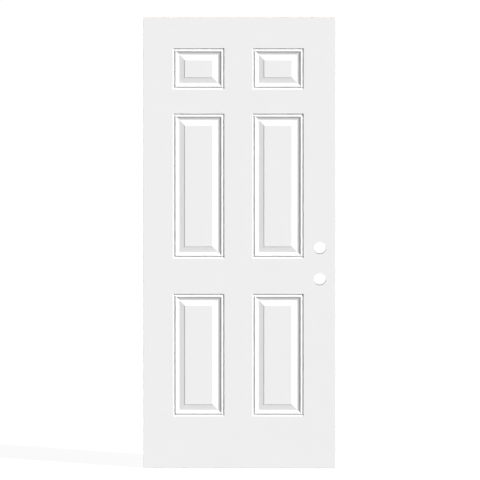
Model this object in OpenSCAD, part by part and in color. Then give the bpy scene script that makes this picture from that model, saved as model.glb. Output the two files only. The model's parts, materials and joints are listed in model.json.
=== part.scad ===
// Six-panel insulated steel entry door leaf, machined for a knob lock, a deadbolt and three butt hinges.
// Two pressed steel skins fold into kerfs in a pine frame round a foam core, and never touch each other.
// The lock edge is at +X, the outside face at -Y, and the origin is the middle of the underside.

/* [Leaf] */
// Width of the leaf
leaf_w = 857.25; // [760:0.25:1070]
// Height of the leaf
leaf_h = 2012.95; // [1900:0.05:2440]
// Thickness over both skins
leaf_t = 44.45; // [40:0.05:60]

/* [Skins] */
// Thickness of the steel sheet
sheet_t = 0.6; // [0.4:0.1:1.2]
// Width of the hem folded over each long edge
hem_w = 5; // [4:0.5:6]
// Depth of the hem's lip in the stile
lip_d = 5; // [3:0.5:10]
// Inside radius of the folds
fold_r = 0.5; // [0.3:0.1:1.4]
// Height of the skins' lower edge above the underside
skin_lift = 0.5; // [0.5:0.5:6]

/* [Panels] */
// Flat margin from the hinge edge to the panels
hinge_margin = 132; // [80:0.5:180]
// Flat margin from the lock edge to the panels
lock_margin = 142; // [125:0.5:180]
// Flat strip between the two columns of panels
mullion_w = 124.5; // [60:0.5:180]
// Flat strip above the top row
top_margin = 137; // [80:0.5:200]
// Height of the top row
top_panel_h = 183; // [130:0.5:300]
// Flat strip between the top and middle rows
frieze_h = 108.5; // [60:0.5:200]
// Flat strip between the middle and bottom rows
lock_rail_h = 158.5; // [60:0.5:260]
// Height of the bottom row
bottom_panel_h = 548; // [300:0.5:700]
// Flat strip below the bottom row
bottom_margin = 231.5; // [120:0.5:300]

/* [Moulding] */
// Width of the groove that outlines each panel
groove_w = 11.2; // [6:0.1:14]
// Width of the groove's flat bottom
groove_floor_w = 0.8; // [0.4:0.1:3]
// Depth of the groove
groove_d = 5.5; // [1.5:0.1:6]
// Width of the flat band inside the groove
band_w = 1; // [0.8:0.1:8]
// Depth of the band below the face
band_d = 0.3; // [0.2:0.1:1]
// Radius of the ogee's rounded upper edge
ogee_top_r = 5; // [2:0.5:10]
// Slope where the ogee turns from round to hollow, in degrees
ogee_slope = 40; // [30:1:46]
// Radius of the ogee's hollow
ogee_foot_r = 25.5; // [15:0.5:32]
// Slope of the hollow where it meets the valley, in degrees
ogee_foot_slope = 8; // [0:1:15]
// Run of the bevel that climbs from the valley to the raised field
bevel_w = 22.5; // [10:0.1:26]
// Run of the rounded shoulder at the field's edge
shoulder_w = 3.4; // [2.5:0.1:6]
// Rise of that shoulder
shoulder_rise = 1.8; // [1:0.1:2.4]
// Depth of the field below the face
field_d = 1.5; // [0.3:0.1:2]

/* [Frame] */
// Width of each stile
stile_w = 32; // [28:1:38]
// Height of the top rail
top_rail_h = 32; // [20:1:70]
// Height of the bottom rail
bottom_rail_h = 38; // [24:1:100]
// Clearance on each side of a skin's lip in its saw kerf
kerf_clearance = 0.3; // [0.1:0.1:0.6]
// Clearance beyond the lip's tip
lip_clearance = 0.4; // [0.2:0.1:1]

/* [Door bottom grooves] */
// Width of each groove for a sweep
sweep_slot_w = 3.2; // [2:0.1:5]
// Depth of each groove
sweep_slot_d = 12.7; // [6:0.1:18]
// Distance between the two grooves' centres
sweep_slot_pitch = 24; // [12:0.5:26]

/* [Lock bores] */
// Distance from the lock edge to the bores' centres
backset = 69.85; // [60:0.05:72]
// Height of the knob lock's bore
knob_z = 845; // [760:1:1000]
// Distance from that bore up to the deadbolt's
bore_pitch = 139.7; // [100:0.1:180]
// Diameter of the bores through the faces
cross_bore_dia = 53.975; // [38:0.005:56]
// Diameter of the bores in the lock edge
edge_bore_dia = 25.4; // [20:0.1:26]
// Height of the recess for a latch plate
latch_plate_h = 57.15; // [50:0.05:70]
// Width of that recess
latch_plate_w = 25.4; // [22:0.1:28]
// Depth of that recess
latch_plate_d = 4; // [2:0.1:6]
// Corner radius of that recess
latch_plate_r = 6.35; // [2:0.05:10]
// Distance between a latch plate's screw holes
latch_screw_pitch = 41.3; // [36:0.1:48]
// Width of the lock block behind the lock stile
lock_block_w = 82; // [72:1:92]
// Length of block above and below the bores
lock_block_margin = 120; // [60:1:200]

/* [Hinge recesses] */
// Height of a hinge leaf
hinge_h = 101.6; // [90:0.1:115]
// Thickness of a hinge leaf
hinge_leaf_d = 2.4; // [1.8:0.1:3.5]
// Wood left between the recess and the outside face
hinge_backset = 6.35; // [6:0.05:10]
// Corner radius of the recess
hinge_r = 6.35; // [2:0.05:16]
// From the leaf's top to the top hinge
hinge_from_top = 177.8; // [100:0.1:300]
// From the leaf's underside to the bottom hinge
hinge_from_bottom = 279.4; // [150:0.1:400]
// Distance between the outer two screws of a hinge
hinge_outer_pitch = 76.2; // [60:0.1:90]
// Distance between the inner two screws of a hinge
hinge_inner_pitch = 28.6; // [20:0.1:50]
// From the recess's closed side to the outer screws
hinge_outer_inset = 10; // [7:0.5:14]
// From the recess's closed side to the inner screws
hinge_inner_inset = 22; // [16:0.5:26]
// Diameter of the screws' pilot holes
pilot_dia = 2.8; // [2:0.1:4]
// Depth of the pilot holes
pilot_depth = 22; // [10:1:24]

/* [Hidden] */
$fn = 64;

// How far cutting tools reach past the faces that they cut
over = 1;
// Flat steps in each curve of the moulding and in each fold
curve_steps = 6;

primer_white = [0.94, 0.94, 0.93];
pine = [0.84, 0.68, 0.46];
composite_grey = [0.44, 0.43, 0.42];
foam_cream = [0.93, 0.86, 0.66];

half_w = leaf_w / 2;
half_t = leaf_t / 2;
core_t = leaf_t - 2 * sheet_t;
inner_w = leaf_w - 2 * stile_w;

// Panels in two columns and three rows, as [centre x, centre z, width, height]
panel_w = (leaf_w - hinge_margin - lock_margin - mullion_w) / 2;
middle_panel_h = leaf_h - top_margin - top_panel_h - frieze_h - lock_rail_h - bottom_panel_h - bottom_margin;
row_heights = [bottom_panel_h, middle_panel_h, top_panel_h];
row_bases = [
    bottom_margin,
    bottom_margin + bottom_panel_h + lock_rail_h,
    leaf_h - top_margin - top_panel_h
];
column_x = [hinge_margin + panel_w / 2 - half_w, half_w - lock_margin - panel_w / 2];
panels = [for (x = column_x, row = [0:2])
    [x, row_bases[row] + row_heights[row] / 2, panel_w, row_heights[row]]];

// The moulding's profile in four stretches, each as [distance inwards, depth]
groove_wall_w = (groove_w - groove_floor_w) / 2;
band_edge = groove_w + band_w;
ogee_fall = [for (p = ogee(ogee_top_r, ogee_slope, ogee_foot_r, ogee_foot_slope)) p + [band_edge, band_d]];
valley_edge = ogee_fall[2 * curve_steps].x;
valley_d = ogee_fall[2 * curve_steps].y;
shoulder_edge = valley_edge + bevel_w;
groove_fall = [[0, 0], [groove_wall_w, groove_d]];
groove_climb = [[groove_wall_w + groove_floor_w, groove_d], [groove_w, band_d]];
field_climb = concat(
    [[valley_edge, valley_d]],
    [for (p = round_over(shoulder_w, shoulder_rise)) p + [shoulder_edge, field_d]]
);

// Lock and hinge places
bore_x = half_w - backset;
bore_heights = [knob_z, knob_z + bore_pitch];
lock_block_x = half_w - stile_w - lock_block_w;
lock_block_z = knob_z - lock_block_margin;
lock_block_h = bore_pitch + 2 * lock_block_margin;
hinge_low = hinge_from_bottom + hinge_h / 2;
hinge_high = leaf_h - hinge_from_top - hinge_h / 2;
hinge_heights = [hinge_low, (hinge_low + hinge_high) / 2, hinge_high];
hinge_recess_w = leaf_t - hinge_backset;
hinge_recess_y = hinge_backset - half_t;

// Points of an arc about a centre, from one angle to another
function arc(centre, r, from, to) =
    [for (i = [0:curve_steps]) let(a = from + (to - from) * i / curve_steps) centre + r * [cos(a), sin(a)]];

// A round upper arc that leaves flat, and a hollow arc that goes on from its steepest slope to a gentler one
function ogee(top_r, slope, foot_r, foot_slope) =
    let(
        top = arc([0, top_r], top_r, -90, slope - 90),
        foot_centre = top[curve_steps] + foot_r * [sin(slope), -cos(slope)],
        foot = arc(foot_centre, foot_r, 90 + slope, 90 + foot_slope)
    )
    concat(top, [for (i = [1:curve_steps]) foot[i]]);

// A quarter-like arc that starts steep at the full rise and ends flat at depth 0
function round_over(run, rise) =
    let(turn = 2 * atan(rise / run), r = run / sin(turn))
    arc([run, r], r, -90 - turn, -90);

// A profile mirrored across a span and closed at a depth, run straight along the third axis
module profile_run(span, run, profile, close_d)
    linear_extrude(run, center = true)
        polygon(concat(
            [[profile[0].x - span / 2, close_d]],
            [for (p = profile) [p.x - span / 2, p.y]],
            [for (i = [len(profile) - 1:-1:0]) [span / 2 - profile[i].x, profile[i].y]],
            [[span / 2 - profile[0].x, close_d]]
        ));

// The same profile on all four sides of a panel: the two runs cross, and their crossing makes the mitres
module mitred(w, h, profile, close_d)
    intersection() {
        profile_run(w, h, profile, close_d);
        rotate([0, -90, 0]) profile_run(h, w, profile, close_d);
    }

// Everything pressed out of one panel, from a start depth down to the moulding's surface or a sheet below it
module panel_relief(w, h, start_d, below) {
    function lowered(profile) = [for (p = profile) p + [0, below]];
    floor_d = valley_d + below + over;
    difference() {
        union() {
            difference() {
                mitred(w, h, lowered(groove_fall), start_d);
                mitred(w, h, lowered(groove_climb), floor_d);
            }
            mitred(w, h, lowered(ogee_fall), start_d);
        }
        mitred(w, h, lowered(field_climb), floor_d);
    }
}

// All six panels' reliefs in the outside face
module panel_reliefs(start_d, below)
    for (p = panels)
        translate([p[0], -half_t, p[1]]) panel_relief(p[2], p[3], start_d, below);

// Half of a rolled skin's section at the lock edge, as a band of sheet that starts at the middle of the leaf
module hemmed_section() {
    outer_r = fold_r + sheet_t;
    fold = [half_w - outer_r, -half_t + outer_r];
    lip_fold = [half_w - outer_r, -half_t + hem_w - outer_r];
    lip_tip = half_w - lip_d;
    polygon(concat(
        [[0, -half_t]],
        arc(fold, outer_r, -90, 0),
        arc(lip_fold, outer_r, 0, 90),
        [[lip_tip, -half_t + hem_w], [lip_tip, -half_t + hem_w - sheet_t]],
        arc(lip_fold, fold_r, 90, 0),
        arc(fold, fold_r, 0, -90),
        [[0, -half_t + sheet_t]]
    ));
}

// One pressed and hemmed sheet, with its bores, as the outside face
module pressed_skin()
    difference() {
        union() {
            translate([0, 0, skin_lift])
                linear_extrude(leaf_h - skin_lift)
                    for (side = [0, 1]) mirror([side, 0]) hemmed_section();
            panel_reliefs(0, sheet_t);
        }
        panel_reliefs(-over, 0);
        cross_bores();
    }

module cross_bores()
    for (z = bore_heights)
        translate([bore_x, 0, z]) rotate([90, 0, 0])
            cylinder(d = cross_bore_dia, h = leaf_t + 2 * over, center = true);

module edge_bores()
    for (z = bore_heights)
        translate([bore_x, 0, z]) rotate([0, 90, 0]) cylinder(d = edge_bore_dia, h = backset + over);

// A block with rounded corners, centred on Y and Z, that stands on the YZ plane
module rounded_plate(depth, width, height, r) {
    translate([0, -width / 2 + r, -height / 2]) cube([depth, width - 2 * r, height]);
    translate([0, -width / 2, -height / 2 + r]) cube([depth, width, height - 2 * r]);
    for (y = [-1, 1], z = [-1, 1])
        translate([0, y * (width / 2 - r), z * (height / 2 - r)]) rotate([0, 90, 0])
            cylinder(r = r, h = depth);
}

// Recess and screw holes for the latch plate of each lock
module latch_recesses()
    for (z = bore_heights)
        translate([half_w - latch_plate_d, 0, z]) {
            rounded_plate(latch_plate_d + over, latch_plate_w, latch_plate_h, latch_plate_r);
            for (side = [-1, 1])
                translate([-pilot_depth, 0, side * latch_screw_pitch / 2]) rotate([0, 90, 0])
                    cylinder(d = pilot_dia, h = pilot_depth + over);
        }

// Recess for each hinge leaf, open through the inside face where the knuckle lies
module hinge_recesses()
    for (z = hinge_heights)
        translate([-half_w - over, hinge_recess_y + hinge_recess_w, z])
            rounded_plate(hinge_leaf_d + over, 2 * hinge_recess_w, hinge_h, hinge_r);

// Two pairs of screw holes in each hinge recess
module hinge_pilots() {
    outer_pair = [hinge_outer_pitch, hinge_outer_inset];
    inner_pair = [hinge_inner_pitch, hinge_inner_inset];
    for (z = hinge_heights, pair = [outer_pair, inner_pair], side = [-1, 1])
        translate([-half_w + hinge_leaf_d - over, hinge_recess_y + pair[1], z + side * pair[0] / 2])
            rotate([0, 90, 0]) cylinder(d = pilot_dia, h = pilot_depth + over);
}

// Grooves along the underside that take a sweep's ribs
module sweep_slots()
    for (side = [-1, 1])
        translate([-half_w - over, side * sweep_slot_pitch / 2 - sweep_slot_w / 2, -over])
            cube([leaf_w + 2 * over, sweep_slot_w, sweep_slot_d + over]);

// Plain stile at the lock edge: rebated for the hems, kerfed for their lips
module kerfed_stile() {
    kerf_w = sheet_t + 2 * kerf_clearance;
    kerf_d = lip_d + lip_clearance;
    kerf_y = half_t - hem_w - kerf_clearance;
    difference() {
        translate([half_w - stile_w, -core_t / 2, 0]) cube([stile_w, core_t, leaf_h]);
        for (side = [0, 1]) mirror([0, side, 0]) {
            linear_extrude(3 * leaf_h, center = true) hem_rebate();
            translate([half_w - kerf_d, kerf_y, -over]) cube([kerf_d + over, kerf_w, leaf_h + 2 * over]);
        }
    }
}

// Section of the wood cut away under a hem, with a round arris inside each fold
module hem_rebate() {
    outer_r = fold_r + sheet_t;
    fold = [half_w - outer_r, half_t - outer_r];
    lip_fold = [half_w - outer_r, half_t - hem_w + outer_r];
    polygon(concat(
        arc(lip_fold, fold_r, -90, 0),
        arc(fold, fold_r, 0, 90),
        [[fold.x, half_t + over], [half_w + over, half_t + over], [half_w + over, lip_fold.y - fold_r]]
    ));
}

module front_skin() color(primer_white) pressed_skin();

module back_skin() color(primer_white)
    difference() {
        mirror([0, 1, 0]) pressed_skin();
        hinge_recesses();
    }

module hinge_stile() color(pine)
    difference() {
        mirror([1, 0, 0]) kerfed_stile();
        hinge_recesses();
        hinge_pilots();
        sweep_slots();
    }

module lock_stile() color(pine)
    difference() {
        kerfed_stile();
        edge_bores();
        latch_recesses();
        sweep_slots();
    }

module top_rail() color(pine)
    translate([-inner_w / 2, -core_t / 2, leaf_h - top_rail_h]) cube([inner_w, core_t, top_rail_h]);

module bottom_rail() color(composite_grey)
    difference() {
        translate([-inner_w / 2, -core_t / 2, 0]) cube([inner_w, core_t, bottom_rail_h]);
        sweep_slots();
    }

// Solid block of the lock block, before boring
module lock_block_blank()
    translate([lock_block_x, -core_t / 2, lock_block_z]) cube([lock_block_w, core_t, lock_block_h]);

module lock_block() color(composite_grey)
    difference() {
        lock_block_blank();
        cross_bores();
        edge_bores();
    }

module foam_core() color(foam_cream)
    difference() {
        translate([-inner_w / 2, -core_t / 2, bottom_rail_h])
            cube([inner_w, core_t, leaf_h - bottom_rail_h - top_rail_h]);
        lock_block_blank();
        for (side = [0, 1]) mirror([0, side, 0]) panel_reliefs(0, sheet_t);
    }

front_skin();
back_skin();
hinge_stile();
lock_stile();
top_rail();
bottom_rail();
lock_block();
foam_core();
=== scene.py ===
import json
import math

import bmesh
import bpy
from mathutils import Matrix, Vector


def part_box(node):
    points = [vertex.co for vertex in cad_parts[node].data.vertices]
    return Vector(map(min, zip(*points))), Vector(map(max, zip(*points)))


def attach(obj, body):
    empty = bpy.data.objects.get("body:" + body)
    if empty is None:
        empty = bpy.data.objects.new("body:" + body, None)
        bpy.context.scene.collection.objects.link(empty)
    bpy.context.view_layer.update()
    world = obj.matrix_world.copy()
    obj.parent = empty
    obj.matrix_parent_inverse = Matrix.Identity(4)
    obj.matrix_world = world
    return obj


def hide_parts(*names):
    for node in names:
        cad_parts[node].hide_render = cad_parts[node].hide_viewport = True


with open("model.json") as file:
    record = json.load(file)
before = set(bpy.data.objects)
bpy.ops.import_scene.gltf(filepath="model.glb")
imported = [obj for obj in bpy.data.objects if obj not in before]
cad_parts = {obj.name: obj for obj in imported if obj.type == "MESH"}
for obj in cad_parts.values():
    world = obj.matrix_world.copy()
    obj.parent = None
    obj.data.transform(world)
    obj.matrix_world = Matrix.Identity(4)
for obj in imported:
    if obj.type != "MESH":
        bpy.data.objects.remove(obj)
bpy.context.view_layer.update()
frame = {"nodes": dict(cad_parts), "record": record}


# Stiles and top rail: the leaf's pine frame, planed from short blocks that are glued end to end with
# finger joints. The stiles run the full height and the top rail is butted between them, all left bare.
MM = 0.001
BLOCK_LENGTH = 430 * MM
FINGER_LENGTH = 9 * MM
FINGER_PITCH = 4.2 * MM
GLUE_LINE = 0.35 * MM
RING_WIDTH = 3.4 * MM
RING_WAVER = 20 * MM  # how far the rings stray from round
WAVERS_PER_METRE = (14.0, 14.0, 1.6)
PITH_SPREAD = (0.19, 0.13, 1.7)  # how far apart in the log two blocks may have grown, in metres
LATE_START, LATE_END = 0.45, 0.93  # shares of a ring
FIBRE_SHAPE = (1.0, 1.0, 1 / 50)  # fifty times as long as wide
PINE_FINENESS = 2600.0
STREAK_SPAN = (0.35, 0.7)
PALE_PINE = (0.760, 0.556, 0.315)
WARM_PINE = (0.665, 0.430, 0.205)
LATE_WOOD = (0.470, 0.236, 0.082)
LATE_SHOW, STREAK_SHOW, GLUE_SHOW = 0.62, 0.22, 0.55  # how strongly each darkens the wood
LATE_RISE = 0.6
PINE_RELIEF = 0.06 * MM
PINE_ROUGH = (0.52, 0.72)
PINE_GLOSS = 0.3
UPRIGHT, LEVEL = (0, 0, 0), (0, math.pi / 2, 0)  # turns of the pattern, by the way the grain runs


def add(tree, kind, inputs=None, **settings):
    """Adds a shader node with its settings, and fills its sockets with values or links."""
    made = tree.nodes.new("ShaderNode" + kind)
    for name, value in settings.items():
        setattr(made, name, value)
    for socket, value in (inputs or {}).items():
        if isinstance(value, bpy.types.NodeSocket):
            tree.links.new(value, made.inputs[socket])
        else:
            made.inputs[socket].default_value = value
    return made


def calc(tree, operation, *values):
    """One Math node on values or sockets."""
    return add(tree, "Math", dict(enumerate(values)), operation=operation).outputs[0]


def stretch(tree, place, scale):
    """A place scaled by an amount along each axis."""
    return add(tree, "VectorMath", {0: place, 1: scale}, operation="MULTIPLY").outputs[0]


def sway(tree, place, by, amount):
    """A place moved by a colour's three channels, each times an amount."""
    return add(tree, "VectorMath", {0: by, 1: amount, 2: place}, operation="MULTIPLY_ADD").outputs[0]


def span(tree, value, low, high, to_low=0.0, to_high=1.0):
    """A value's span from low to high, spread over another span and held at its ends."""
    sockets = {"Value": value, "From Min": low, "From Max": high, "To Min": to_low, "To Max": to_high}
    return add(tree, "MapRange", sockets).outputs[0]


def vary(tree, pattern, ends):
    """A value that a pattern moves between two ends: most of a noise lies from 0.3 to 0.7."""
    return span(tree, pattern, 0.3, 0.7, *ends)


def tint(tree, amount, first, second):
    """A mix of two colours, each a link or a plain colour. A Mix node has its colours at 6, 7 and 2."""
    first, second = [c if isinstance(c, bpy.types.NodeSocket) else (*c, 1) for c in (first, second)]
    return add(tree, "Mix", {0: amount, 6: first, 7: second}, data_type="RGBA").outputs[2]


def effect(name, inputs, outputs):
    """A shader node group: its tree, the sockets that it is given and the sockets that it puts out."""
    tree = bpy.data.node_groups.new(name, "ShaderNodeTree")
    for side, sockets in (("INPUT", inputs), ("OUTPUT", outputs)):
        for label, kind in sockets.items():
            tree.interface.new_socket(label, in_out=side, socket_type="NodeSocket" + kind)
    return tree, tree.nodes.new("NodeGroupInput").outputs, tree.nodes.new("NodeGroupOutput").inputs


def use(tree, group, inputs):
    """An effect placed in a material, as its outputs."""
    return add(tree, "Group", inputs, node_tree=group).outputs


def blank_finish(name):
    """A new material: itself, its tree, its Principled shader and the place on the piece."""
    made = bpy.data.materials.new(name)
    made.use_nodes = True
    tree = made.node_tree
    tree.nodes.clear()
    shader = add(tree, "BsdfPrincipled")
    add(tree, "OutputMaterial", {"Surface": shader.outputs[0]})
    return made, tree, shader, add(tree, "TexCoord").outputs["Object"]


def dress(tree, shader, colour, roughness, height, relief):
    """Feeds a shader its colour, its roughness and the relief of a height map."""
    bump = add(tree, "Bump", {"Height": height, "Strength": 1.0, "Distance": relief})
    tree.links.new(colour, shader.inputs["Base Color"])
    tree.links.new(roughness, shader.inputs["Roughness"])
    tree.links.new(bump.outputs[0], shader.inputs["Normal"])


def paint(node, made):
    """Gives a CAD node its finish."""
    for slot in frame["nodes"][node].material_slots:
        slot.material = made


# Fibres: fine streaks that run along Z
fibres, given, put = effect("fibres", {"Place": "Vector", "Fineness": "Float"}, {"Streak": "Float"})
fine = add(fibres, "TexNoise", {
    "Vector": stretch(fibres, given["Place"], FIBRE_SHAPE),
    "Scale": given["Fineness"],
    "Detail": 4.0,
    "Roughness": 0.6,
})
fibres.links.new(fine.outputs["Fac"], put["Streak"])

# Finger-jointed pine with its grain along Z: blocks, fingers, growth rings about a pith of each block's own
pine, given, put = effect(
    "finger_jointed_pine",
    {"Place": "Vector"},
    {"Colour": "Color", "Roughness": "Float", "Height": "Float"},
)
along = add(pine, "SeparateXYZ", {0: given["Place"]}).outputs
finger = calc(pine, "PINGPONG", along["Y"], FINGER_PITCH / 2)
reach = calc(pine, "MULTIPLY_ADD", finger, 2 * FINGER_LENGTH / FINGER_PITCH, along["Z"])
row_of_blocks = {"W": calc(pine, "DIVIDE", reach, BLOCK_LENGTH), "Scale": 1.0}
block = add(pine, "TexVoronoi", row_of_blocks, voronoi_dimensions="1D").outputs["Color"]
joint = add(pine, "TexVoronoi", row_of_blocks, voronoi_dimensions="1D", feature="DISTANCE_TO_EDGE")
glue = span(pine, joint.outputs["Distance"], 0.0, GLUE_LINE / BLOCK_LENGTH, 1.0, 0.0)
drift = add(pine, "TexNoise", {"Vector": stretch(pine, given["Place"], WAVERS_PER_METRE), "Scale": 1.0})
in_log = sway(pine, given["Place"], block, PITH_SPREAD)
wavy = sway(pine, in_log, drift.outputs["Color"], (RING_WAVER, RING_WAVER, 0.0))
across = stretch(pine, wavy, (1.0, 1.0, 0.0))
radius = add(pine, "VectorMath", {0: across}, operation="LENGTH").outputs["Value"]
ring = calc(pine, "FRACT", calc(pine, "DIVIDE", radius, RING_WIDTH))
darkening = span(pine, ring, LATE_START, LATE_END)
late = calc(pine, "MULTIPLY", darkening, span(pine, ring, LATE_END, 1.0, 1.0, 0.0))
streak = use(pine, fibres, {"Place": in_log, "Fineness": PINE_FINENESS})["Streak"]
tone = add(pine, "SeparateXYZ", {0: block}).outputs["Z"]
wood = tint(pine, tone, PALE_PINE, WARM_PINE)
wood = tint(pine, calc(pine, "MULTIPLY", late, LATE_SHOW), wood, LATE_WOOD)
wood = tint(pine, span(pine, streak, *STREAK_SPAN, 0.0, STREAK_SHOW), wood, LATE_WOOD)
wood = tint(pine, calc(pine, "MULTIPLY", glue, GLUE_SHOW), wood, LATE_WOOD)
planed = calc(pine, "MULTIPLY_ADD", late, LATE_RISE, calc(pine, "SUBTRACT", streak, glue))
pine.links.new(wood, put["Colour"])
pine.links.new(vary(pine, streak, PINE_ROUGH), put["Roughness"])
pine.links.new(planed, put["Height"])


def bare_pine(name, turn, centre):
    """The pine with its grain turned along a piece and its pattern centred there."""
    made, tree, shader, place = blank_finish(name)
    aligned = add(tree, "Mapping", {"Vector": place, "Rotation": turn, "Location": centre}).outputs[0]
    board = use(tree, pine, {"Place": aligned})
    dress(tree, shader, board["Colour"], board["Roughness"], board["Height"], PINE_RELIEF)
    shader.inputs["Specular IOR Level"].default_value = PINE_GLOSS
    return made


# Each piece is cut from another stretch of the jointed board, this many metres along it
HINGE_STILE_START, LOCK_STILE_START, TOP_RAIL_START = 3.7, 0.2, 9.1
stile_middle = sum(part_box("lock_stile"), Vector()) / 2
rail_middle = sum(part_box("top_rail"), Vector()) / 2
paint("hinge_stile", bare_pine("hinge_stile_pine", UPRIGHT, (stile_middle.x, 0, HINGE_STILE_START)))
paint("lock_stile", bare_pine("lock_stile_pine", UPRIGHT, (-stile_middle.x, 0, LOCK_STILE_START)))
paint("top_rail", bare_pine("top_rail_pine", LEVEL, (-rail_middle.z, 0, TOP_RAIL_START)))


# Bottom rail and lock block: wood-fibre composite, moulded and sawn, which doesn't rot or swell. The rail
# closes the foot and is grooved for a sweep; the block is glued behind the lock stile and bored through.
# The composite is a real charcoal grey, made darker still as painted shade on the walls of the lock bores;
# the bottom rail shares it.
COMPOSITE_DARKENED_AS_SHADE = (0.140, 0.135, 0.129)
DARK_FIBRE, DARK_FINENESS, DARK_SPAN = (0.070, 0.066, 0.061), 900.0, (0.52, 0.72)
PALE_FIBRE, PALE_FINENESS, PALE_SPAN = (0.270, 0.260, 0.245), 1500.0, (0.56, 0.75)
PALE_SHAPE = (1.0, 1.0, 3.0)
FIBRE_SHOW = 0.7
SAW_FINENESS, SAW_RISE = 130.0, 0.5
COMPOSITE_RELIEF = 0.08 * MM
COMPOSITE_ROUGH = (0.82, 0.95)
COMPOSITE_GLOSS = 0.05


def sawn_composite(name, turn):
    """Composite with its fibres turned along a piece, and the fine ridges of a saw across it."""
    made, tree, shader, place = blank_finish(name)
    aligned = add(tree, "Mapping", {"Vector": place, "Rotation": turn}).outputs[0]
    shorter = stretch(tree, aligned, PALE_SHAPE)
    dark = use(tree, fibres, {"Place": aligned, "Fineness": DARK_FINENESS})["Streak"]
    pale = use(tree, fibres, {"Place": shorter, "Fineness": PALE_FINENESS})["Streak"]
    board = tint(tree, span(tree, dark, *DARK_SPAN, 0.0, FIBRE_SHOW), COMPOSITE_DARKENED_AS_SHADE, DARK_FIBRE)
    board = tint(tree, span(tree, pale, *PALE_SPAN, 0.0, FIBRE_SHOW), board, PALE_FIBRE)
    ridges = {"Vector": aligned, "Scale": SAW_FINENESS, "Distortion": 1.5, "Detail": 2.0}
    saw = add(tree, "TexWave", ridges, bands_direction="Z").outputs["Fac"]
    height = calc(tree, "MULTIPLY_ADD", saw, SAW_RISE, dark)
    dress(tree, shader, board, vary(tree, dark, COMPOSITE_ROUGH), height, COMPOSITE_RELIEF)
    shader.inputs["Specular IOR Level"].default_value = COMPOSITE_GLOSS
    return made


paint("bottom_rail", sawn_composite("bottom_rail_composite", LEVEL))
paint("lock_block", sawn_composite("lock_block_composite", UPRIGHT))


# Outside skin: one sheet of steel, primed white in the coil, pressed with six raised panels and bored for the
# locks. Its long edges fold over the stiles, and the lips of those hems are driven into saw kerfs.
# The sheet, its hems and its bends
SHEET = 0.6 * MM
HEM = 5 * MM
LIP = 5 * MM
FOLD_R = 1.1 * MM
FOLD_STEPS = 8
BEND_R = 0.7 * MM
BEND_STEPS = 4
CURVE_STEPS = 8
CRISP = math.radians(12)
TOUCH = 0.005 * MM  # points closer than this count as one

# Where the six panels lie on the face
HINGE_MARGIN = 132 * MM
LOCK_MARGIN = 142 * MM
MULLION = 124.5 * MM
BOTTOM_MARGIN = 231.5 * MM
BOTTOM_PANEL = 548 * MM
LOCK_RAIL = 158.5 * MM
FRIEZE = 108.5 * MM
TOP_PANEL = 183 * MM
TOP_MARGIN = 137 * MM

# The pressed section, from the face inwards, with slopes in degrees
GROOVE, GROOVE_FLOOR, GROOVE_D = 11.2 * MM, 0.8 * MM, 5.5 * MM
BAND, BAND_D = 1.0 * MM, 0.3 * MM
OGEE_TOP_R, OGEE_SLOPE = 5 * MM, 40
OGEE_FOOT_R, OGEE_FOOT_SLOPE = 25.5 * MM, 8
BEVEL = 22.5 * MM
SHOULDER, SHOULDER_RISE = 3.4 * MM, 1.8 * MM
FIELD_D = 1.5 * MM

# The lock bores, and half the side of the square of face that each is cut from
BORE_R = 26.9875 * MM
BORE_FIELD = 36 * MM
BORE_STEPS = 12

# The primer, and the bare steel of the cut edges
PEEL_FINENESS, CLOUD_FINENESS = 700.0, 9.0
THIN_PRIMER, THICK_PRIMER = (0.858, 0.858, 0.858), (0.868, 0.868, 0.868)
PRIMER_ROUGH = (0.48, 0.60)
PEEL_RELIEF = 0.004 * MM
BURR_FINENESS = 1800.0
DULL_STEEL, BRIGHT_STEEL = (0.50, 0.51, 0.52), (0.66, 0.67, 0.68)
STEEL_ROUGH = (0.35, 0.55)
BURR_RELIEF = 0.02 * MM

mounts = frame["record"]["mounts"]
bores = [Vector(m["pos_m"]) for m in mounts if m["name"] in ("knob_bore", "deadbolt_bore")]
skin_low, skin_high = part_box("front_skin")
half_w, half_t = skin_high.x, -skin_low.y
flat_edge = half_w - FOLD_R
panel_w = (2 * half_w - HINGE_MARGIN - LOCK_MARGIN - MULLION) / 2
columns = [HINGE_MARGIN - half_w, half_w - LOCK_MARGIN - panel_w]
middle_base = BOTTOM_MARGIN + BOTTOM_PANEL + LOCK_RAIL
top_base = skin_high.z - TOP_MARGIN - TOP_PANEL
middle_panel = top_base - FRIEZE - middle_base
rows = [(BOTTOM_MARGIN, BOTTOM_PANEL), (middle_base, middle_panel), (top_base, TOP_PANEL)]


def arc(centre, radius, start, end, steps):
    """Points of an arc, as (distance inwards, depth)."""
    turns = [math.radians(start + (end - start) * i / steps) for i in range(steps + 1)]
    return [centre + radius * Vector((math.cos(a), math.sin(a))) for a in turns]


def moulding():
    """The pressed section from the face to the field: groove, band, ogee, bevel and rounded shoulder."""
    wall = (GROOVE - GROOVE_FLOOR) / 2
    groove = [(0, 0), (wall, GROOVE_D), (GROOVE - wall, GROOVE_D), (GROOVE, BAND_D)]
    steep = math.radians(OGEE_SLOPE)
    ogee = arc(Vector((GROOVE + BAND, BAND_D + OGEE_TOP_R)), OGEE_TOP_R, -90, OGEE_SLOPE - 90, CURVE_STEPS)
    hollow = ogee[-1] + OGEE_FOOT_R * Vector((math.sin(steep), -math.cos(steep)))
    ogee += arc(hollow, OGEE_FOOT_R, 90 + OGEE_SLOPE, 90 + OGEE_FOOT_SLOPE, CURVE_STEPS)[1:]
    turn = 2 * math.atan(SHOULDER_RISE / SHOULDER)
    shoulder_r = SHOULDER / math.sin(turn)
    crown = Vector((ogee[-1].x + BEVEL + SHOULDER, FIELD_D + shoulder_r))
    shoulder = arc(crown, shoulder_r, -90 - math.degrees(turn), -90, CURVE_STEPS)
    return [Vector(p) for p in groove] + ogee + shoulder


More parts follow.
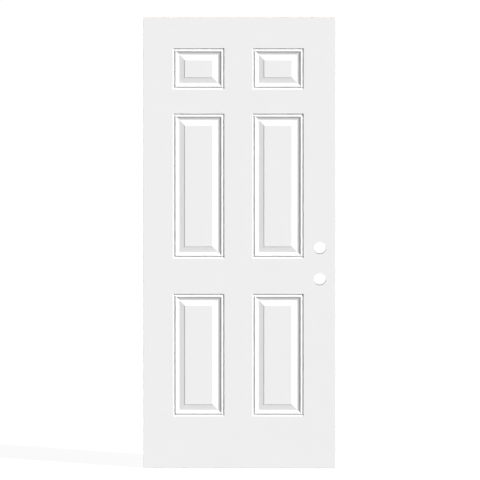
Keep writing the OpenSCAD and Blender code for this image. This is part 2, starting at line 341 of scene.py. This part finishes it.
def bent(points):
    """A section with each sharp corner bent to a small radius, as a press bends sheet."""
    flat = Vector((2 * BEND_R, 0))
    ends = [points[0] - flat] + points + [points[-1] + flat]
    made = []
    for before, corner, after in zip(ends, ends[1:], ends[2:]):
        turn = abs((corner - before).angle_signed(after - corner))
        if turn < CRISP:
            made.append(corner)
            continue
        reach = BEND_R * math.tan(turn / 2)
        leave = corner + (before - corner).normalized() * reach
        land = corner + (after - corner).normalized() * reach
        for i in range(BEND_STEPS + 1):
            t = i / BEND_STEPS
            made.append(leave * (1 - t) ** 2 + corner * 2 * t * (1 - t) + land * t**2)
    return made


def each(parts):
    """Parts of a sheet in the order in which they come, each once."""
    return list(dict.fromkeys(parts))


def only(kind, parts):
    """The parts of one kind: corners, edges or faces."""
    return [part for part in parts if isinstance(part, kind)]


def nearest(sheet, place):
    """The face of a sheet whose middle is nearest to a place."""
    return min(sheet.faces, key=lambda f: (f.calc_center_median() - place).length)


def cut(sheet, faces, place, across):
    """Cuts some of a sheet's faces along a plane."""
    edges = each(e for f in faces for e in f.edges)
    corners = each(v for f in faces for v in f.verts)
    bmesh.ops.bisect_plane(
        sheet, geom=[*corners, *edges, *faces], plane_co=place, plane_no=across, dist=TOUCH
    )


def press_panels(sheet):
    """Cuts the face where each panel's first bend begins, and presses the moulding into all six."""
    section = bent(moulding())
    lead = -section[0].x  # how far outside a panel's edge its first bend begins
    for x in columns:
        for side in (x - lead, x + panel_w + lead):
            cut(sheet, sheet.faces, (side, 0, 0), (1, 0, 0))
    for base, height in rows:
        for side in (base - lead, base + height + lead):
            cut(sheet, sheet.faces, (0, 0, side), (0, 0, 1))
    for x in columns:
        for base, height in rows:
            panel = nearest(sheet, Vector((x + panel_w / 2, -half_t, base + height / 2)))
            for a, b in zip(section, section[1:]):
                bmesh.ops.inset_individual(
                    sheet, faces=[panel], thickness=b.x - a.x, depth=a.y - b.y, use_even_offset=True
                )


def bore(sheet, x, z):
    """Opens a round hole in a square of the flat face."""
    for side in (-BORE_FIELD, BORE_FIELD):
        strip = [f for f in sheet.faces if abs(f.calc_center_median().x - x) < BORE_FIELD / 2]
        cut(sheet, strip, (0, 0, z + side), (0, 0, 1))
    middle = Vector((x, -half_t, z))
    square = nearest(sheet, middle)
    sides = square.edges[:]
    bmesh.ops.delete(sheet, geom=[square], context="FACES_ONLY")
    split = bmesh.ops.subdivide_edges(sheet, edges=sides, cuts=BORE_STEPS - 1)["geom_split"]
    behind = Vector((0, BORE_FIELD, 0))
    turn = Matrix.Translation(middle + behind) @ Matrix.Rotation(math.pi / 2, 4, "X")
    ring = bmesh.ops.create_circle(sheet, segments=4 * BORE_STEPS, radius=BORE_R, matrix=turn)["verts"]
    rim = each(e for v in ring for e in v.link_edges)
    bmesh.ops.bridge_loops(sheet, edges=only(bmesh.types.BMEdge, split) + rim)
    bmesh.ops.translate(sheet, vec=-behind, verts=ring)


def fold(sheet, edges, centre, turn):
    """Rolls a sheet's free edges round a fold, and gives the new free edges."""
    corners = each(v for e in edges for v in e.verts)
    rolled = bmesh.ops.spin(
        sheet, geom=corners + edges, cent=centre, axis=(0, 0, 1), angle=turn, steps=FOLD_STEPS
    )
    return only(bmesh.types.BMEdge, rolled["geom_last"])


def pull(sheet, edges, by):
    """Draws a sheet's free edges straight on, and gives the new free edges."""
    drawn = bmesh.ops.extrude_edge_only(sheet, edges=edges)["geom"]
    bmesh.ops.translate(sheet, vec=by, verts=only(bmesh.types.BMVert, drawn))
    return only(bmesh.types.BMEdge, drawn)


def fold_hem(sheet, side):
    """Folds one long edge over its stile: round the arris, down the edge, and in as a lip."""
    x = side * flat_edge
    free = [e for e in sheet.edges if e.is_boundary and all(abs(v.co.x - x) < TOUCH for v in e.verts)]
    quarter = side * math.pi / 2
    free = fold(sheet, free, (x, FOLD_R - half_t, 0), quarter)
    free = pull(sheet, free, (0, HEM - 2 * FOLD_R, 0))
    free = fold(sheet, free, (x, HEM - FOLD_R - half_t, 0), quarter)
    pull(sheet, free, (side * (FOLD_R - LIP), 0, 0))


def pressed_sheet():
    """The outside face of one skin, as a single surface without its thickness."""
    sheet = bmesh.new()
    bmesh.ops.create_grid(sheet, x_segments=1, y_segments=1, size=0.5)
    tall = skin_high.z - skin_low.z
    bmesh.ops.scale(sheet, vec=(2 * flat_edge, tall, 1), verts=sheet.verts)
    bmesh.ops.rotate(sheet, matrix=Matrix.Rotation(math.pi / 2, 3, "X"), verts=sheet.verts)
    bmesh.ops.translate(sheet, vec=(0, -half_t, skin_low.z + tall / 2), verts=sheet.verts)
    press_panels(sheet)
    for side in (-BORE_FIELD, BORE_FIELD):
        cut(sheet, sheet.faces, (bores[0].x + side, 0, 0), (1, 0, 0))
    for place in bores:
        bore(sheet, place.x, place.z)
    for side in (-1, 1):
        fold_hem(sheet, side)
    return sheet


def rank(parts, place):
    """Sorts a sheet's corners, edges or faces by their place, so that every run numbers them alike."""
    ranks = {part: i for i, part in enumerate(sorted(parts, key=lambda p: place(p).to_tuple(6)))}
    parts.sort(key=ranks.get)


def mitred(edge):
    """Whether an edge is the slanting mitre between two sides of a panel."""
    run = edge.verts[1].co - edge.verts[0].co
    return min(abs(run.x), abs(run.z)) > TOUCH


def skin(name, sheet, finishes):
    """Makes a sheet a piece: its crisp edges and mitres kept, and its steel given a thickness."""
    rank(sheet.verts, lambda v: v.co)
    rank(sheet.edges, lambda e: e.verts[0].co + e.verts[1].co)
    rank(sheet.faces, lambda f: f.calc_center_median())
    for e in sheet.edges:
        e.smooth = not e.is_boundary and not mitred(e) and e.calc_face_angle(0) < CRISP
    for f in sheet.faces:
        f.smooth = True
    mesh = bpy.data.meshes.new(name)
    sheet.to_mesh(mesh)
    sheet.free()
    piece = bpy.data.objects.new(name, mesh)
    bpy.context.collection.objects.link(piece)
    for made in finishes:
        mesh.materials.append(made)
    gauge = piece.modifiers.new("gauge", "SOLIDIFY")
    gauge.thickness = SHEET
    gauge.offset = -1
    gauge.use_even_offset = True
    gauge.material_offset_rim = 1
    flat = piece.modifiers.new("flat faces", "WEIGHTED_NORMAL")
    flat.keep_sharp = True
    return piece


def mottle(tree, place, fineness, detail):
    """A soft random pattern."""
    return add(tree, "TexNoise", {"Vector": place, "Scale": fineness, "Detail": detail}).outputs["Fac"]


def white_primer():
    """Satin primer, with the faint peel of a rolled coat and a slow drift in its thickness."""
    made, tree, shader, place = blank_finish("primed_steel")
    peel = mottle(tree, place, PEEL_FINENESS, 1.0)
    cloud = mottle(tree, place, CLOUD_FINENESS, 3.0)
    coat = tint(tree, cloud, THIN_PRIMER, THICK_PRIMER)
    dress(tree, shader, coat, vary(tree, cloud, PRIMER_ROUGH), peel, PEEL_RELIEF)
    return made


def bare_cut():
    """The sheet's cut edges, where the steel shows, streaked by the shear."""
    made, tree, shader, place = blank_finish("cut_steel")
    burr = use(tree, fibres, {"Place": place, "Fineness": BURR_FINENESS})["Streak"]
    bare = tint(tree, burr, DULL_STEEL, BRIGHT_STEEL)
    dress(tree, shader, bare, vary(tree, burr, STEEL_ROUGH), burr, BURR_RELIEF)
    shader.inputs["Metallic"].default_value = 1.0
    return made


skin_finishes = [white_primer(), bare_cut()]
front = skin("outside_skin", pressed_sheet(), skin_finishes)
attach(front, "root")
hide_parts("front_skin")


# Inside skin: the same pressed sheet for the other face, turned about, with its hem notched at the hinge
# edge where the three hinge leaves are let in. It never touches the outside skin, so no cold crosses.
HINGE_H = 101.6 * MM
HINGE_LEAF = 2.4 * MM
hinges = [m["pos_m"][2] for m in mounts if m["name"].endswith("hinge_seat")]
notch_x = HINGE_LEAF - half_w


def left_of(sheet, x):
    """The faces of a sheet whose middle lies left of a place."""
    return [f for f in sheet.faces if f.calc_center_median().x < x]


turned = pressed_sheet()
bmesh.ops.scale(turned, vec=(1, -1, 1), verts=turned.verts)
bmesh.ops.reverse_faces(turned, faces=turned.faces)
cut(turned, left_of(turned, HINGE_MARGIN - half_w), (notch_x, 0, 0), (1, 0, 0))
for z in hinges:
    for side in (z - HINGE_H / 2, z + HINGE_H / 2):
        cut(turned, left_of(turned, notch_x), (0, 0, side), (0, 0, 1))
    notch = [f for f in left_of(turned, notch_x) if abs(f.calc_center_median().z - z) < HINGE_H / 2]
    bmesh.ops.delete(turned, geom=notch, context="FACES")

back = skin("inside_skin", turned, skin_finishes)
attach(back, "root")
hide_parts("back_skin")


# Foam core: rigid foam, poured between the skins, where it swells into the back of every panel and bonds
# skins and frame together. The frame and the skins close it in on all sides.
CELL_FINENESS, CELL_SPAN, CELL_SHOW = 1600.0, (0.0, 0.6), 0.35
SWELL_FINENESS = 40.0
CREAM, PALE_CREAM, CELL_PIT_SHADE = (0.82, 0.69, 0.37), (0.87, 0.76, 0.46), (0.62, 0.48, 0.22)
FOAM_ROUGH = (0.75, 0.9)
FOAM_RELIEF = 0.2 * MM


def poured_foam():
    """Cream foam with fine closed cells, a little paler where it swelled more, with painted shade in the pit
    of each cell.
    """
    made, tree, shader, place = blank_finish("poured_foam")
    cell = add(tree, "TexVoronoi", {"Vector": place, "Scale": CELL_FINENESS}).outputs["Distance"]
    swell = mottle(tree, place, SWELL_FINENESS, 2.0)
    foam = tint(tree, swell, CREAM, PALE_CREAM)
    # Painted shade, darkest in the pit of each cell where the bump is lowest
    foam = tint(tree, span(tree, cell, *CELL_SPAN, CELL_SHOW, 0.0), foam, CELL_PIT_SHADE)
    dress(tree, shader, foam, vary(tree, swell, FOAM_ROUGH), cell, FOAM_RELIEF)
    return made


paint("foam_core", poured_foam())


# Studio: a wide pale floor under an even white surround, one lamp from the upper right of the outside face
# and a weaker one behind. The floor and the surround show white, and light the leaf only faintly.
ELEVATION = math.radians(3.2)
AIM = Vector((2.4 * MM, -half_t, 1.0205))
DISTANCE = 30.0
FRAME_WIDTH = 2.1418
FILL = 0.10
FLOOR_REACH = 150
FLOOR_GAP = 0.3 * MM
FLOOR_GREY, FLOOR_GLOW = (0.1, 0.1, 0.1, 1), 0.90


def seen(tree):
    """1 for a ray that shows a surface to the camera, also by reflection or through glass, else 0."""
    path = add(tree, "LightPath").outputs
    shown = calc(tree, "MAXIMUM", path["Is Camera Ray"], path["Is Glossy Ray"])
    return calc(tree, "MAXIMUM", shown, path["Is Transmission Ray"])


def lamp(name, towards, strength, softness):
    """A far lamp, by the direction towards it, its strength and the degrees that it spans."""
    light = bpy.data.lights.new(name, "SUN")
    light.energy = strength
    light.angle = math.radians(softness)
    holder = bpy.data.objects.new(name, light)
    holder.rotation_euler = Vector(towards).to_track_quat("Z", "Y").to_euler()
    bpy.context.collection.objects.link(holder)


def pale_floor():
    """A matt floor that shows white but for the shadow on it, and is clear from below."""
    made = bpy.data.materials.new("pale_floor")
    made.use_nodes = True
    tree = made.node_tree
    tree.nodes.clear()
    matt = add(tree, "BsdfDiffuse", {"Color": FLOOR_GREY}).outputs[0]
    glow = add(tree, "Emission", {"Strength": FLOOR_GLOW}).outputs[0]
    white = add(tree, "AddShader", {0: glow, 1: matt}).outputs[0]
    above = add(tree, "MixShader", {0: seen(tree), 1: matt, 2: white}).outputs[0]
    clear = add(tree, "BsdfTransparent").outputs[0]
    under = add(tree, "NewGeometry").outputs["Backfacing"]
    whole = add(tree, "MixShader", {0: under, 1: above, 2: clear}).outputs[0]
    add(tree, "OutputMaterial", {"Surface": whole})
    return made


lamp("key_lamp", towards=(0.669, -0.523, 0.528), strength=5.2, softness=3)
lamp("back_lamp", towards=(-0.68, 0.66, 0.32), strength=3.8, softness=6)

scene = bpy.context.scene
surround = bpy.data.worlds.new("white_surround")
surround.use_nodes = True
sky = surround.node_tree
background = sky.nodes["Background"].inputs
background["Color"].default_value = (1, 1, 1, 1)
sky.links.new(span(sky, seen(sky), 0.0, 1.0, FILL, 1.0), background["Strength"])
scene.world = surround

ground = bmesh.new()
bmesh.ops.create_grid(ground, x_segments=1, y_segments=1, size=FLOOR_REACH)
bmesh.ops.translate(ground, vec=(0, 0, -FLOOR_GAP), verts=ground.verts)
floor_mesh = bpy.data.meshes.new("floor")
ground.to_mesh(floor_mesh)
ground.free()
floor_mesh.materials.append(pale_floor())
floor = bpy.data.objects.new("floor", floor_mesh)
bpy.context.collection.objects.link(floor)

camera = bpy.data.objects.new("camera", bpy.data.cameras.new("camera"))
bpy.context.collection.objects.link(camera)
towards = Vector((0, -math.cos(ELEVATION), math.sin(ELEVATION)))
camera.location = AIM + towards * DISTANCE
camera.rotation_euler = towards.to_track_quat("Z", "Y").to_euler()
camera.data.lens = camera.data.sensor_width * DISTANCE / FRAME_WIDTH
camera.data.clip_start = 1.0
camera.data.clip_end = 200.0
scene.camera = camera
scene.view_settings.view_transform = "Standard"
